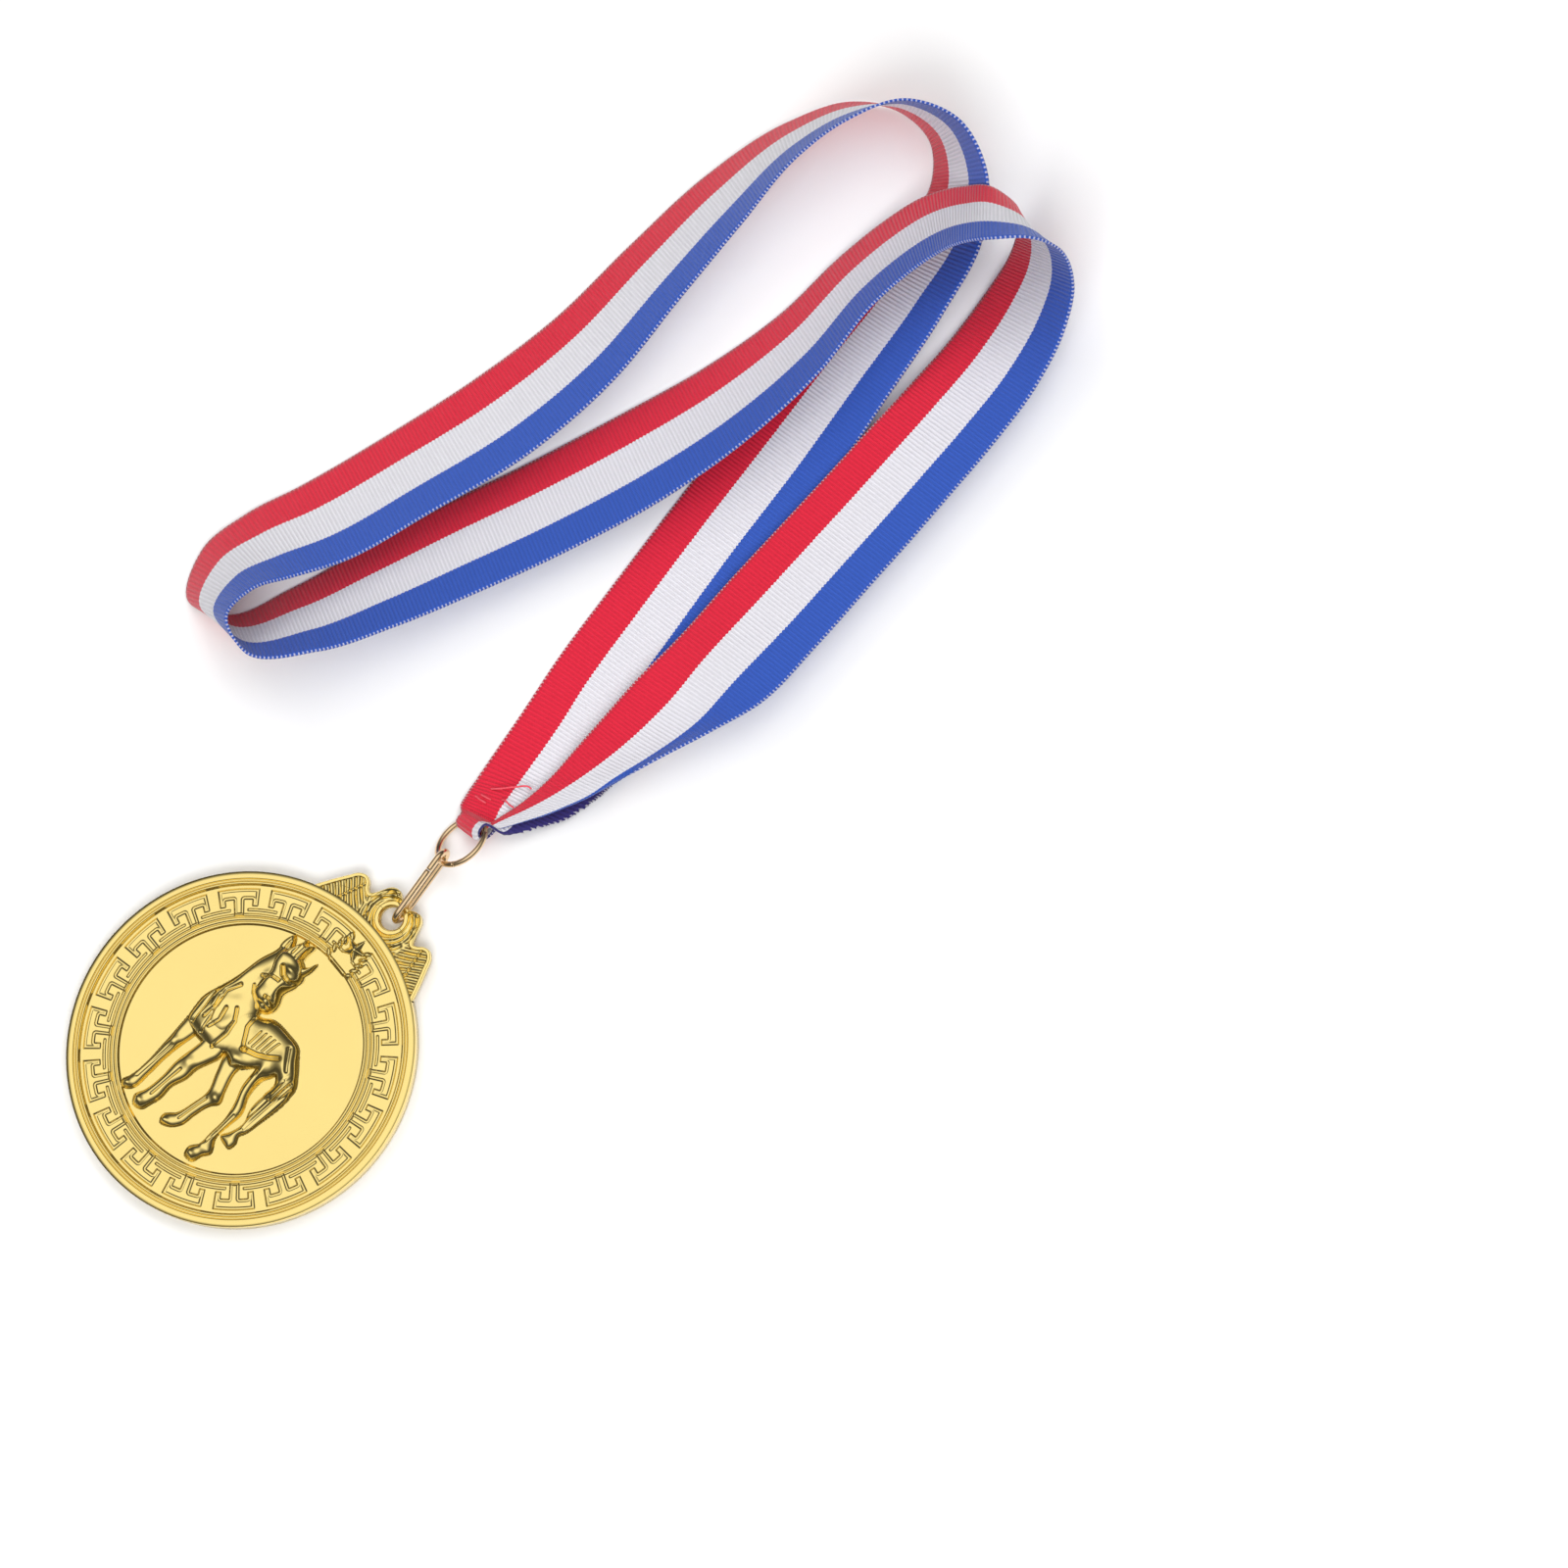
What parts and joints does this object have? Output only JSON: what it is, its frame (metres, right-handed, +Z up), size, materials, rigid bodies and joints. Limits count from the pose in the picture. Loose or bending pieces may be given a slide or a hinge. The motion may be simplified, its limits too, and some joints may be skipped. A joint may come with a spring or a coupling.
{
  "type": "award medal",
  "caption": "Round cast award medallion with a horse in relief and a winged eye, linked by an oval link and a jump ring to a striped woven neck ribbon that lies folded.",
  "frame": {"origin": "centre of the medallion's flat back face, on the surface that the medal lies on", "axes": "+Z up, away from the surface and out of the medallion's front; +Y from the medallion's centre to its hanging eye, along the length of the laid ribbon; +X to the right of a reader who has the eye at the top"},
  "size_m": [0.1109, 0.2392, 0.0328],
  "materials": {
    "ribbon": "ribbed weave",
    "thread": "matt",
    "wire_metal": "polished",
    "medal_metal": "polished and satin"
  },
  "bodies": {
    "ribbon": {"ribbon_strand_1": "ribbon", "ribbon_bend_1": "ribbon", "ribbon_strand_2": "ribbon", "ribbon_bend_2": "ribbon", "ribbon_strand_3": "ribbon", "ribbon_bend_3": "ribbon", "ribbon_strand_4": "ribbon", "ribbon_sewn_end": "ribbon", "bar_tack_thread": "thread"},
    "ring": {"jump_ring": "wire_metal"},
    "link": {"oval_link": "wire_metal"},
    "medal": {"medallion": "medal_metal"}
  },
  "joints": [
    {"name": "ring_swing", "type": "hinge", "parent": "ribbon", "child": "ring", "pos_m": [-0.00266, 0.05896, 0.00343], "axis": [0.8011, 0.1392, 0.5821], "range_deg": [-35, 0]},
    {"name": "link_swing", "type": "hinge", "parent": "ring", "child": "link", "pos_m": [-0.00215, 0.0494, 0.0038], "axis": [0.809, 0, 0.5878], "range_deg": [-30, 0]},
    {"name": "medal_swing", "type": "hinge", "parent": "link", "child": "medal", "pos_m": [0.0007, 0.0363, 0.00262], "axis": [0, 0, 1], "range_deg": [-8, 50]}
  ]
}
